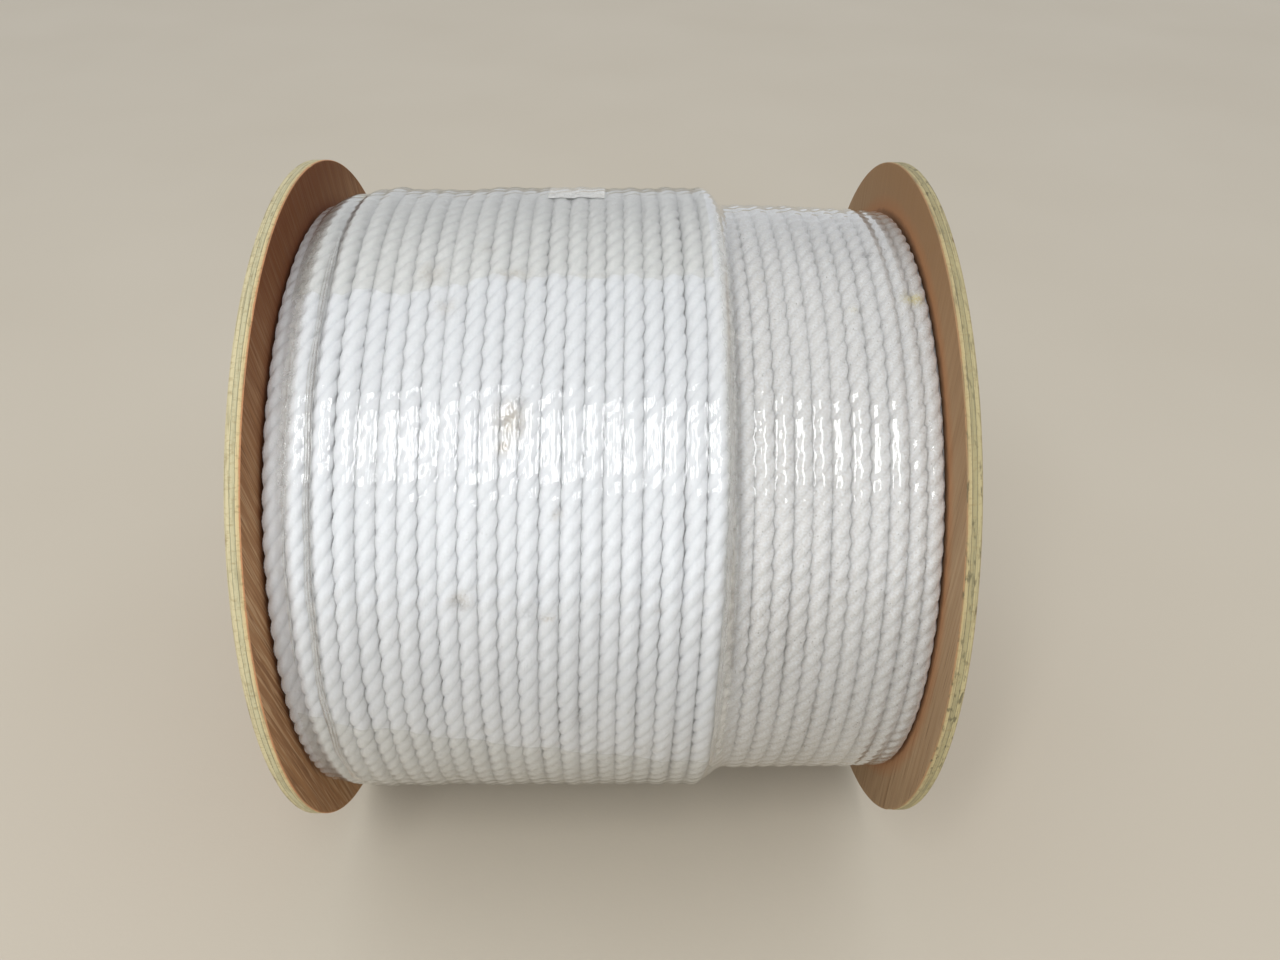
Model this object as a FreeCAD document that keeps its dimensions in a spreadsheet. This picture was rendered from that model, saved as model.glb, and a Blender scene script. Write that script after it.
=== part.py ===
import FreeCAD, Part
import os

import Sketcher

# A plywood-flanged reel of twisted rope, lying on its rims with its axis along X.
# Two round plywood flanges clamp a paper tube between them. Four threaded tie rods run
# through the tube, with a washer and a nut at each end. The rope is wound on the tube in
# level layers, and clear stretch film closed with a piece of tape wraps the winding.
#
# The origin is on the ground, midway between the flanges. +Z is up, so the reel's axis
# is half a flange diameter above it. Lengths are in millimetres.

SIZES = {
    # Flanges: five-ply discs.
    "flange_diameter": 381.0,
    "flange_thickness": 7.1,
    "rim_bevel": 0.5,
    "traverse": 314.0,  # clear width between the flanges
    "arbor_diameter": 31.75,  # hole for the axle that the reel turns on
    # Drum: a paper tube whose ends sit in routed seats.
    "core_diameter": 150.0,
    "core_wall": 8.0,
    "seat_depth": 3.0,
    "seat_clearance": 0.2,
    # Tie rods, 5/16 in thread, with plain washers and hex nuts.
    "rod_diameter": 7.94,
    "rod_hole": 8.8,
    "rod_circle": 90.0,
    "rod_overhang": 3.0,  # beyond each nut
    "rod_bevel": 0.8,
    "rod_count": 4,
    "washer_diameter": 22.2,
    "washer_thickness": 2.1,
    "washer_bevel": 0.25,
    "nut_width": 12.7,  # across the flats
    "nut_height": 6.75,
    "nut_hole": 8.0,
    "nut_face_diameter": 12.07,  # flat ring left on a nut's outer face
    # Rope: 3/8 in, laid side by side.
    "full_layer_turns": 35,
    "exposed_turns": 11,  # turns of the last full layer that show, beside the right flange
    "top_turns": 21,
    "top_pitch": 9.4,
    "top_start": 13.5,  # from the left flange to the top layer
    "sunken_turns": 2,  # turns over which the top layer rises to its full radius
    "section_radius": 5.2,  # rounding of one turn where it shows
    "crown_flat": 0.7,  # half the flat left along each turn's crown
    "inner_radius": 158.4,  # outside of the layers that nothing shows
    "lower_radius": 167.1,  # crowns of the last full layer
    "top_radius": 176.2,  # crowns of the top layer
    "top_first_rise": 4.0,  # the top layer's first turn, which has sunk between its neighbours
    "shoulder_along": 2.4,  # slope at the top layer's open end
    "shoulder_drop": 3.2,
    # Stretch film over the winding, and the tape that closes it.
    "film_gap": 0.2,
    "film_thickness": 0.3,
    "film_end_gap": 0.6,
    "film_edge_rise": 0.6,  # over the turn beside the left flange
    "film_rise_start": 11.2,  # from the left flange to where the film climbs the top layer
    "film_rise_end": 13.1,
    "film_ramp": 12.4,  # from the step to where the film meets the lower layer
    "tape_width": 30.0,
    "tape_length": 48.0,
    "tape_thickness": 0.15,
    "tape_offset": 124.8,  # from the left flange to the tape's near edge
    "tape_far_edge": 25.0,  # degrees past the top, going back
    "cut_reach": 0.5,  # how far a cutting outline passes beyond the material
}

# Lengths that several pieces share, as expressions on the sheet.
LOWER_PITCH = "sizes.traverse / sizes.full_layer_turns"
TOP_PITCH = "sizes.top_pitch"
FILM_INNER_LOW = "sizes.lower_radius + sizes.film_gap"
FILM_INNER_TOP = "sizes.top_radius + sizes.film_gap"
STEP = "(sizes.top_start + sizes.top_pitch * sizes.top_turns)"  # where the top layer ends
HALF_WIDTH = "sizes.traverse / 2"
OUTER_FACE = f"({HALF_WIDTH} + sizes.flange_thickness)"
AXIS_HEIGHT = "sizes.flange_diameter / 2"
LEVEL_START = "(sizes.top_start + sizes.top_pitch * sizes.sunken_turns)"
FIRST_ROD_ANGLE = 45
ROUNDING_ANGLES = (20, 35, 50)  # degrees from a crown, where a valley follows the rounding

doc = FreeCAD.newDocument("rope_reel")


def make_sheet():
    """The driving dimensions, one named cell each."""
    sheet = doc.addObject("Spreadsheet::Sheet", "sizes")
    for row, (alias, value) in enumerate(SIZES.items(), start=1):
        sheet.set(f"A{row}", alias)
        sheet.set(f"B{row}", str(value))
        sheet.setAlias(f"B{row}", alias)
    doc.recompute()


def make_body(name):
    body = doc.addObject("PartDesign::Body", name)
    body.Label = name
    return body


def sketch_on(body, role, name):
    """An empty sketch on one of the body's own origin planes."""
    sketch = body.newObject("Sketcher::SketchObject", name)
    plane = next(item for item in body.Origin.OriginFeatures if item.Role == role)
    sketch.AttachmentSupport = [(plane, "")]
    sketch.MapMode = "FlatFace"
    return sketch


def bind(sketch, index, expression):
    sketch.setExpression(f"Constraints[{index}]", expression)


def pin_point(sketch, line, end, along, out):
    """Holds one end of a line at two distances from the origin, given as expressions."""
    for kind, axis, expression in (("DistanceX", -2, along), ("DistanceY", -1, out)):
        if expression == "0":
            sketch.addConstraint(Sketcher.Constraint("PointOnObject", line, end, axis))
        else:
            index = sketch.addConstraint(Sketcher.Constraint(kind, -1, 1, line, end, 10.0))
            bind(sketch, index, expression)


def outline(body, name, corners):
    """A closed outline in the XZ plane: each corner is how far along X and how far out."""
    sketch = sketch_on(body, "XZ_Plane", name)
    count = len(corners)
    spots = [FreeCAD.Vector(10 + 5 * i, 10 + 5 * (i % 2), 0) for i in range(count)]
    for i in range(count):
        sketch.addGeometry(Part.LineSegment(spots[i], spots[(i + 1) % count]))
    for i, (along, out) in enumerate(corners):
        pin_point(sketch, i, 1, along, out)
        sketch.addConstraint(Sketcher.Constraint("Coincident", i, 2, (i + 1) % count, 1))
    return sketch


def turn(body, kind, name, sketch):
    """Turns an outline about the body's X axis, as a Revolution or a Groove."""
    feature = body.newObject(f"PartDesign::{kind}", name)
    feature.Profile = sketch
    feature.ReferenceAxis = (sketch, ["H_Axis"])
    feature.Angle = 360
    return feature


def turned_body(name, corners):
    body = make_body(name)
    turn(body, "Revolution", f"{name}_turned", outline(body, f"{name}_outline", corners))
    return body


def round_hole(body, name, radius, offset="0"):
    """A hole right through along X. It cuts towards +X, where the body's material is."""
    sketch = sketch_on(body, "YZ_Plane", f"{name}_circle")
    sketch.addGeometry(Part.Circle(FreeCAD.Vector(20, 0, 0), FreeCAD.Vector(0, 0, 1), 4))
    bind(sketch, sketch.addConstraint(Sketcher.Constraint("Radius", 0, 4.0)), radius)
    sketch.addConstraint(Sketcher.Constraint("PointOnObject", 0, 3, -1))
    if offset == "0":
        sketch.addConstraint(Sketcher.Constraint("PointOnObject", 0, 3, -2))
    else:
        distance = sketch.addConstraint(Sketcher.Constraint("DistanceX", -1, 1, 0, 3, 20.0))
        bind(sketch, distance, offset)
    hole = body.newObject("PartDesign::Pocket", name)
    hole.Profile = sketch
    hole.Type = "ThroughAll"
    hole.Reversed = True
    return hole


def place(body, along, across="0", up="0", turn_z=0.0, turn_x=0.0):
    """Puts a body at a distance along X, across Y and above the reel's axis."""
    about_z = FreeCAD.Rotation(FreeCAD.Vector(0, 0, 1), turn_z)
    about_x = FreeCAD.Rotation(FreeCAD.Vector(1, 0, 0), turn_x)
    body.Placement = FreeCAD.Placement(FreeCAD.Vector(), about_z.multiply(about_x))
    body.setExpression(".Placement.Base.x", along)
    body.setExpression(".Placement.Base.y", across)
    body.setExpression(".Placement.Base.z", f"{AXIS_HEIGHT} + {up}")


def flange(name):
    """A disc with bevelled rims, an arbor hole and a seat for the tube, in its +X face."""
    face = "sizes.flange_thickness"
    rim = "sizes.flange_diameter / 2"
    seat_outer = "sizes.core_diameter / 2 + sizes.seat_clearance"
    seat_inner = "sizes.core_diameter / 2 - sizes.core_wall - sizes.seat_clearance"
    body = turned_body(name, [
        ("0", "sizes.arbor_diameter / 2"),
        ("0", f"{rim} - sizes.rim_bevel"),
        ("sizes.rim_bevel", rim),
        (f"{face} - sizes.rim_bevel", rim),
        (face, f"{rim} - sizes.rim_bevel"),
        (face, seat_outer),
        (f"{face} - sizes.seat_depth", seat_outer),
        (f"{face} - sizes.seat_depth", seat_inner),
        (face, seat_inner),
        (face, "sizes.arbor_diameter / 2"),
    ])
    doc.recompute()
    hole = round_hole(body, f"{name}_rod_hole", "sizes.rod_hole / 2", "sizes.rod_circle / 2")
    pattern = body.newObject("PartDesign::PolarPattern", f"{name}_rod_holes")
    pattern.Originals = [hole]
    pattern.Axis = (hole.Profile[0], ["N_Axis"])
    pattern.Angle = 360
    pattern.setExpression("Occurrences", "sizes.rod_count")
    body.Tip = pattern
    return body


def core_tube():
    """The paper tube, its ends resting on the bottoms of the two seats."""
    length = "sizes.traverse + 2 * sizes.seat_depth"
    inner = "sizes.core_diameter / 2 - sizes.core_wall"
    outer = "sizes.core_diameter / 2"
    body = turned_body("core_tube", [("0", inner), ("0", outer), (length, outer), (length, inner)])
    place(body, f"-{HALF_WIDTH} - sizes.seat_depth")


def tie_rod(name):
    """A threaded rod with bevelled ends, as long as the whole clamped stack."""
    stack = "sizes.washer_thickness + sizes.nut_height + sizes.rod_overhang"
    length = f"(2 * {OUTER_FACE} + 2 * ({stack}))"
    radius = "sizes.rod_diameter / 2"
    return turned_body(name, [
        ("0", "0"),
        ("0", f"{radius} - sizes.rod_bevel"),
        ("sizes.rod_bevel", radius),
        (f"{length} - sizes.rod_bevel", radius),
        (length, f"{radius} - sizes.rod_bevel"),
        (length, "0"),
    ])


def washer(name):
    """A plain washer, its outer edge rounded over on the side that faces out."""
    return turned_body(name, [
        ("0", "sizes.rod_hole / 2"),
        ("0", "sizes.washer_diameter / 2"),
        ("sizes.washer_thickness - sizes.washer_bevel", "sizes.washer_diameter / 2"),
        ("sizes.washer_thickness", "sizes.washer_diameter / 2 - sizes.washer_bevel"),
        ("sizes.washer_thickness", "sizes.rod_hole / 2"),
    ])


def nut(name):
    """A hex nut, its corners turned off at 30 degrees on the side that faces out."""
    body = make_body(name)
    sketch = sketch_on(body, "YZ_Plane", f"{name}_hexagon")
    centre = FreeCAD.Vector()
    sketch.addGeometry(Part.Circle(centre, FreeCAD.Vector(0, 0, 1), 7.3), True)
    sketch.addConstraint(Sketcher.Constraint("Coincident", 0, 3, -1, 1))
    corner_circle = sketch.addConstraint(Sketcher.Constraint("Radius", 0, 7.3))
    bind(sketch, corner_circle, "sizes.nut_width / 2 / cos(30 deg)")
    corners = [FreeCAD.Vector(7.3, 0, 0)]
    for _ in range(5):
        corners.append(FreeCAD.Rotation(FreeCAD.Vector(0, 0, 1), 60).multVec(corners[-1]))
    for i in range(6):
        sketch.addGeometry(Part.LineSegment(corners[i], corners[(i + 1) % 6]))
    for i in range(6):
        side, following = i + 1, (i + 1) % 6 + 1
        sketch.addConstraint(Sketcher.Constraint("Coincident", side, 2, following, 1))
        sketch.addConstraint(Sketcher.Constraint("PointOnObject", side, 1, 0))
        if i:
            sketch.addConstraint(Sketcher.Constraint("Equal", 1, side))
    sketch.addConstraint(Sketcher.Constraint("PointOnObject", 1, 1, -1))
    pad = body.newObject("PartDesign::Pad", f"{name}_pad")
    pad.Profile = sketch
    pad.setExpression("Length", "sizes.nut_height")
    doc.recompute()
    corner = "(sizes.nut_width / 2 / cos(30 deg) + sizes.cut_reach)"
    start = "sizes.nut_face_diameter / 2"
    turn(body, "Groove", f"{name}_corners", outline(body, f"{name}_corner_cut", [
        ("sizes.nut_height", start),
        ("sizes.nut_height", corner),
        (f"sizes.nut_height - ({corner} - {start}) * tan(30 deg)", corner),
    ]))
    doc.recompute()
    round_hole(body, f"{name}_bore", "sizes.nut_hole / 2")
    return body


def tie_hardware():
    """Four rods about the axis, each with a washer and a nut at both ends."""
    rod_start = f"{OUTER_FACE} + sizes.washer_thickness + sizes.nut_height + sizes.rod_overhang"
    for number in range(SIZES["rod_count"]):
        angle = FIRST_ROD_ANGLE + 360 / SIZES["rod_count"] * number
        across = f"sizes.rod_circle / 2 * cos({angle} deg)"
        up = f"sizes.rod_circle / 2 * sin({angle} deg)"
        tag = number + 1
        place(tie_rod(f"tie_rod_{tag}"), f"-({rod_start})", across, up)
        place(washer(f"left_washer_{tag}"), f"-{OUTER_FACE}", across, up, turn_z=180)
        place(washer(f"right_washer_{tag}"), OUTER_FACE, across, up)
        nut_start = f"({OUTER_FACE} + sizes.washer_thickness)"
        place(nut(f"left_nut_{tag}"), f"-{nut_start}", across, up, turn_z=180)
        place(nut(f"right_nut_{tag}"), nut_start, across, up)


def valleys(body, name, pitch, crown, first, count):
    """Cuts the valleys between turns that lie side by side, from the first one towards +X."""
    half, radius = f"({pitch} / 2)", "sizes.section_radius"
    centre = f"{crown} - {radius}"
    rounded = [
        (f"({half} - {radius} * sin({angle} deg))", f"{centre} + {radius} * cos({angle} deg)")
        for angle in ROUNDING_ANGLES
    ]
    lid = (f"({half} - sizes.crown_flat)", f"{crown} + sizes.cut_reach")
    bottom = (first, f"{centre} + sqrt({radius} ^ 2 - {half} ^ 2)")
    wall = [lid] + rounded
    near = [(f"{first} - {along}", out) for along, out in wall]
    far = [(f"{first} + {along}", out) for along, out in reversed(wall)]
    sketch = outline(body, f"{name}_outline", near + [bottom] + far)
    cut = turn(body, "Groove", f"{name}_cut", sketch)
    doc.recompute()
    pattern = body.newObject("PartDesign::LinearPattern", name)
    pattern.Originals = [cut]
    pattern.Direction = (sketch, ["H_Axis"])
    pattern.setExpression("Length", f"{pitch} * ({count} - 1)")
    pattern.setExpression("Occurrences", count)
    body.Tip = pattern


def rope():
    """The winding, as three rings: the hidden layers, the last full one and the top one."""
    width = "sizes.traverse"
    core = "sizes.core_diameter / 2"
    hidden = "sizes.inner_radius"
    lower = "sizes.lower_radius"
    inner = turned_body("rope_inner_layers", [
        ("0", core), ("0", hidden), (width, hidden), (width, core)])
    last_full = turned_body("rope_lower_layer", [
        ("0", hidden), ("0", lower), (width, lower), (width, hidden)])
    doc.recompute()
    first_exposed = f"sizes.traverse - {LOWER_PITCH} * sizes.exposed_turns"
    valleys(last_full, "rope_lower_valleys", LOWER_PITCH, lower, first_exposed,
            "sizes.exposed_turns")
    top = turned_body("rope_top_layer", [
        ("sizes.top_start", lower),
        ("sizes.top_start", f"{lower} + sizes.top_first_rise"),
        (LEVEL_START, "sizes.top_radius"),
        (f"{STEP} - sizes.shoulder_along", "sizes.top_radius"),
        (STEP, "sizes.top_radius - sizes.shoulder_drop"),
        (STEP, lower),
    ])
    doc.recompute()
    level_turns = "(sizes.top_turns - sizes.sunken_turns)"
    valleys(top, "rope_top_valleys", TOP_PITCH, "sizes.top_radius", LEVEL_START, level_turns)
    for body in (inner, last_full, top):
        place(body, f"-{HALF_WIDTH}")


def stretch_film():
    """A thin wrap that follows the winding and bridges the step down to the lower layer."""
    start, end = "sizes.film_end_gap", "sizes.traverse - sizes.film_end_gap"
    path = [
        (start, FILM_INNER_LOW),
        ("sizes.film_rise_start", f"{FILM_INNER_LOW} + sizes.film_edge_rise"),
        ("sizes.film_rise_end", f"{FILM_INNER_LOW} + sizes.top_first_rise"),
        (LEVEL_START, FILM_INNER_TOP),
        (f"{STEP} - sizes.shoulder_along / 2", FILM_INNER_TOP),
        (f"{STEP} + sizes.shoulder_along / 2", f"{FILM_INNER_TOP} - sizes.shoulder_drop"),
        (f"{STEP} + sizes.film_ramp", FILM_INNER_LOW),
        (end, FILM_INNER_LOW),
    ]
    thick = "sizes.film_thickness"
    outside = [(along, f"{out} + {thick}") for along, out in path]
    place(turned_body("stretch_film", path + outside[::-1]), f"-{HALF_WIDTH}")


def closing_tape():
    """A short piece of clear tape over the film's free end, just past the top."""
    inner = f"{FILM_INNER_TOP} + sizes.film_thickness"
    outer = f"{inner} + sizes.tape_thickness"
    near, far = "sizes.tape_offset", "sizes.tape_offset + sizes.tape_width"
    body = turned_body("closing_tape", [(near, inner), (near, outer), (far, outer), (far, inner)])
    body.Tip.setExpression("Angle", f"sizes.tape_length / ({outer}) * 180 deg / pi")
    place(body, f"-{HALF_WIDTH}", turn_x=-SIZES["tape_far_edge"])


def check(bodies):
    """Stops unless every object recomputed cleanly and every piece is a valid solid."""
    for item in doc.Objects:
        if "Invalid" in item.State or "Error" in item.State:
            raise RuntimeError(f"{item.Name} did not recompute: {item.State}")
    for body in bodies:
        if body.Shape.isNull() or not body.Shape.isValid() or not body.Shape.Solids:
            raise RuntimeError(f"{body.Label} has no valid solid")


make_sheet()
place(flange("left_flange"), f"-{OUTER_FACE}", turn_x=FIRST_ROD_ANGLE)
place(flange("right_flange"), OUTER_FACE, turn_z=180, turn_x=FIRST_ROD_ANGLE)
core_tube()
tie_hardware()
rope()
stretch_film()
closing_tape()
doc.recompute()

pieces = [item for item in doc.Objects if item.TypeId == "PartDesign::Body"]
check(pieces)
os.makedirs("parts", exist_ok=True)
for piece in pieces:
    piece.Shape.exportStep(f"parts/{piece.Label}.step")
    size = piece.Shape.BoundBox
    print(f"{piece.Label:20s} {piece.Shape.Volume / 1000:10.2f} cm3  "
          f"{size.XMin:8.2f} {size.XMax:8.2f}  {size.ZMin:8.2f} {size.ZMax:8.2f}")
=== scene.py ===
import math

import bpy
import numpy as np
from mathutils import Matrix, Vector


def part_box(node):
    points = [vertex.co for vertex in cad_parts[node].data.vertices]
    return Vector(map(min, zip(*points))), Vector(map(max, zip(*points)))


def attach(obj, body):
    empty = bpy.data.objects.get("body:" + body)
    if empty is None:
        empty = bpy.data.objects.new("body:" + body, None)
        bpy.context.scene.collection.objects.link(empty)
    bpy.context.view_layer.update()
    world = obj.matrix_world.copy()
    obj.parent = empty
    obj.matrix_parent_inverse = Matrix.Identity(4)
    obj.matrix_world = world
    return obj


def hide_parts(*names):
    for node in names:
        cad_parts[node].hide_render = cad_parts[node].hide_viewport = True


# A plywood-flanged reel of white three-strand rope under clear stretch film. The turns of rope,
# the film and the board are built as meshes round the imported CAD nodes. Lengths in the code are
# millimetres unless a name ends in _M, and mesh points become metres when a piece is made.
# A place on the winding is (x along the axis, angle above the horizontal at the front).

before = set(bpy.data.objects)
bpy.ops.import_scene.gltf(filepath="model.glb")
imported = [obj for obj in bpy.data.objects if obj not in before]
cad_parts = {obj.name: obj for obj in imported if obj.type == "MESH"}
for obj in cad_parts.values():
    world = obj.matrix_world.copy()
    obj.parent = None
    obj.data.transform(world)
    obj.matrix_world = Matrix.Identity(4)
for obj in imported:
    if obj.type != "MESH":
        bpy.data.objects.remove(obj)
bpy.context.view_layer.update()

MM = 0.001
rng = np.random.default_rng(148)

# ---------------------------------------------------------------- sizes from the CAD frame
# HALF is half the clear width. LOWER, TOP and HIDDEN are the crown radii of the rope's layers.
LAYER_TURNS, TOP_TURNS = 35, 21
flange_lo, flange_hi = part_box("left_flange")
AXIS_Z = (flange_lo.z + flange_hi.z) / 2 / MM
REEL_R = (flange_hi.z - flange_lo.z) / 2 / MM
BOARD = (flange_hi.x - flange_lo.x) / MM
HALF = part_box("right_flange")[0].x / MM
LOWER_PITCH = 2 * HALF / LAYER_TURNS
TOP_PITCH = 9.4
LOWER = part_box("rope_lower_layer")[1].z / MM - AXIS_Z
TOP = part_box("rope_top_layer")[1].z / MM - AXIS_Z
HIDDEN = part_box("rope_inner_layers")[1].z / MM - AXIS_Z
TOP_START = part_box("rope_top_layer")[0].x / MM
STEP_X = TOP_START + TOP_PITCH * TOP_TURNS  # where the top layer ends

# ---------------------------------------------------------------- meshes


def ring_points(x, radius, angle):
    """Points round the reel's axis; angle in degrees above the horizontal at the front."""
    a = np.radians(angle)
    return np.stack(np.broadcast_arrays(x, -radius * np.cos(a), AXIS_Z + radius * np.sin(a)), -1)


def grid_faces(rows, columns, wrap_rows=False, wrap_columns=False, flip=False):
    i = np.arange(rows if wrap_rows else rows - 1)[:, None]
    j = np.arange(columns if wrap_columns else columns - 1)[None, :]
    i2, j2 = (i + 1) % rows, (j + 1) % columns
    corners = (i * columns + j, i * columns + j2, i2 * columns + j2, i2 * columns + j)
    quads = np.stack(np.broadcast_arrays(*corners), -1).reshape(-1, 4)
    return quads[:, ::-1] if flip else quads


def piece(name, points, faces, material, replaces=(), fields=None):
    """A mesh piece in millimetres that rides on the reel. faces is a list of index arrays."""
    mesh = bpy.data.meshes.new(name)
    points = np.asarray(points, float).reshape(-1, 3) * MM
    mesh.vertices.add(len(points))
    mesh.vertices.foreach_set("co", points.astype(np.float32).ravel())
    corners = np.concatenate([np.asarray(f).ravel() for f in faces])
    sizes = np.concatenate([np.full(len(f), np.asarray(f).shape[1]) for f in faces])
    mesh.loops.add(len(corners))
    mesh.loops.foreach_set("vertex_index", corners.astype(np.int32))
    mesh.polygons.add(len(sizes))
    starts = np.concatenate([[0], np.cumsum(sizes)[:-1]])
    mesh.polygons.foreach_set("loop_start", starts.astype(np.int32))
    mesh.update(calc_edges=True)
    mesh.polygons.foreach_set("use_smooth", np.full(len(sizes), True))
    for key, values in (fields or {}).items():
        values = np.asarray(values, np.float32)
        vector = values.ndim > 1 and values.shape[-1] == 3
        layer = mesh.attributes.new(key, "FLOAT_VECTOR" if vector else "FLOAT", "POINT")
        layer.data.foreach_set("vector" if vector else "value", values.ravel())
    mesh.materials.append(material)
    made = bpy.data.objects.new(name, mesh)
    bpy.context.collection.objects.link(made)
    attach(made, "root")
    if replaces:
        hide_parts(*replaces)
    return made


def wobble(angle, waves, amount, source):
    """A smooth random curve round the reel; waves is (fewest, most) per turn."""
    total = np.zeros_like(np.asarray(angle, float))
    most_terms = 9
    counts = np.unique(np.linspace(*waves, most_terms).astype(int))
    for n in counts:
        total += source.normal() * np.sin(np.radians(angle) * n + source.uniform(0, math.tau))
    return total * amount / math.sqrt(len(counts))


# ---------------------------------------------------------------- materials


def srgb(r, g, b):
    return tuple((c / 255 / 12.92) if c <= 10 else ((c / 255 + 0.055) / 1.055) ** 2.4
                 for c in (r, g, b)) + (1.0,)


class Shader:
    """A material and short names for the nodes that it is made of."""

    def __init__(self, name):
        self.material = bpy.data.materials.new(name)
        self.material.use_nodes = True
        self.nodes = self.material.node_tree.nodes
        self.links = self.material.node_tree.links
        self.nodes.clear()

    def add(self, kind, inputs=None, output=0, **settings):
        node = self.nodes.new("ShaderNode" + kind)
        for key, value in settings.items():
            setattr(node, key, value)
        for key, value in (inputs or {}).items():
            if isinstance(value, bpy.types.NodeSocket):
                self.links.new(value, node.inputs[key])
            else:
                node.inputs[key].default_value = value
        return node.outputs[output]

    def place(self, scale=(1, 1, 1), turn=(0, 0, 0), source=None):
        vector = source or self.add("TexCoord", output="Object")
        return self.add("Mapping", {"Vector": vector, "Scale": scale, "Rotation": turn})

    def noise(self, vector, scale=1.0, detail=3.0, distortion=0.0):
        return self.add("TexNoise", {"Vector": vector, "Scale": scale, "Detail": detail,
                                     "Distortion": distortion})

    def field(self, name, output="Fac"):
        return self.add("Attribute", output=output, attribute_name=name)

    def ramp(self, value, stops):
        """A colour ramp; a stop is (place, grey level or colour)."""
        color = self.add("ValToRGB", {"Fac": value})
        band = color.node.color_ramp
        band.elements[0].position, band.elements[1].position = stops[0][0], stops[-1][0]
        for place, _ in stops[1:-1]:
            band.elements.new(place)
        for element, (_, tone) in zip(band.elements, stops):
            element.color = tone if isinstance(tone, tuple) else (tone, tone, tone, 1.0)
        return color

    def mix(self, share, a, b):
        return self.add("MixRGB", {"Fac": share, "Color1": a, "Color2": b})

    def math(self, kind, a, b=0.0, clamp=False):
        return self.add("Math", {0: a, 1: b}, operation=kind, use_clamp=clamp)

    def bump(self, height, strength, distance, normal=None):
        inputs = {"Height": height, "Strength": strength, "Distance": distance}
        if normal:
            inputs["Normal"] = normal
        return self.add("Bump", inputs)

    def principled(self, **inputs):
        return self.add("BsdfPrincipled", {k.replace("_", " "): v for k, v in inputs.items()})

    def finish(self, surface):
        node = self.nodes.new("ShaderNodeOutputMaterial")
        self.links.new(surface, node.inputs["Surface"])
        return self.material


def rope_material():
    """White multifilament: fine yarns along the rope, painted soft shade in the lay, a little grime and
    a painted warm bounce low down.
    """
    s = Shader("rope_fibre")
    lay = s.field("lay", "Vector")
    yarn = s.noise(s.place((0.9, 0.9, 0.07), source=lay), 1.6, 3.0, 0.4)
    fibre = s.noise(s.place((4.0, 4.0, 0.12), source=lay), 1.5, 2.0)
    cloud = s.noise(s.place((14, 14, 14)), 1.0, 3.0)
    tone = s.mix(cloud, srgb(246, 247, 249), srgb(238, 240, 242))
    tone = s.mix(s.ramp(yarn, [(0.35, 0.0), (0.7, 0.3)]), tone, srgb(224, 227, 231))
    # painted shade: the strands' grooves are tinted darker, for the shade that falls between them
    tone = s.mix(s.ramp(s.field("groove"), [(0.7, 0.0), (1.0, 0.3)]), tone, srgb(216, 219, 224))
    grime_and_bounce = s.add("SeparateXYZ", {"Vector": s.field("grime_and_bounce", "Vector")})
    rough_edge = s.noise(s.place((900, 900, 900)), 1.0, 3.0)
    # X is brown grime, Y dark marks, Z yellow stains together with a painted warm floor bounce low on
    # the underside
    for axis, colour in (("X", srgb(176, 160, 135)), ("Y", srgb(95, 93, 92)),
                         ("Z", srgb(222, 208, 128))):
        share = s.math("MULTIPLY", grime_and_bounce.node.outputs[axis],
                       s.ramp(rough_edge, [(0.3, 0.25), (0.6, 1.0)]))
        tone = s.mix(share, tone, colour)
    specks = s.ramp(s.noise(s.place((1100, 1100, 600)), 1.0, 2.0), [(0.68, 0.0), (0.74, 0.6)])
    dusty = s.math("ADD", s.math("MULTIPLY", grime_and_bounce.node.outputs["X"], 3.0), 0.15)
    tone = s.mix(s.math("MULTIPLY", specks, dusty, clamp=True), tone, srgb(128, 120, 108))
    normal = s.bump(s.mix(0.4, yarn, fibre), 0.8, 0.0006)
    return s.finish(s.principled(
        Base_Color=tone, Roughness=0.75, Normal=normal, Subsurface_Weight=0.8,
        Subsurface_Scale=0.004, Subsurface_Radius=(1.0, 1.0, 1.0), Specular_IOR_Level=0.25))


def film_material(name, milk, gloss, roughness, tint):
    """Clear stretch film: a mirror by its angle, fine stretch lines, and milkiness by place."""
    s = Shader(name)
    lines = s.noise(s.field("stretch", "Vector"), 1.0, 2.0, 0.3)
    fine = s.noise(s.place((260, 260, 260)), 1.0, 3.0)
    loose = s.field("loose")
    normal = s.bump(s.math("MULTIPLY", lines, loose), 0.4, 0.0003)
    normal = s.bump(s.math("MULTIPLY", fine, loose), 0.32, 0.0002, normal)
    clear = s.add("BsdfTransparent", {"Color": tint})
    milky = s.field("milk")
    # the milkier film turns beige: partly the colour of thicker film, partly painted shade
    thick_film_and_shade = s.ramp(milky, [(0.2, srgb(241, 241, 239)), (0.6, srgb(224, 221, 212))])
    cloudy = s.principled(Base_Color=thick_film_and_shade, Roughness=0.5)
    haze = s.math("MULTIPLY", milky, s.ramp(fine, [(0.35, 0.6 * milk), (0.7, milk)]))
    body = s.add("MixShader", {0: haze, 1: clear, 2: cloudy})
    shine = s.add("BsdfGlossy", {"Color": (1, 1, 1, 1), "Roughness": roughness, "Normal": normal},
                  distribution="GGX")
    edge = s.add("Fresnel", {"IOR": 1.5, "Normal": normal})
    share = s.math("MULTIPLY", edge, gloss, clamp=True)
    return s.finish(s.add("MixShader", {0: share, 1: body, 2: shine}))


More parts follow.
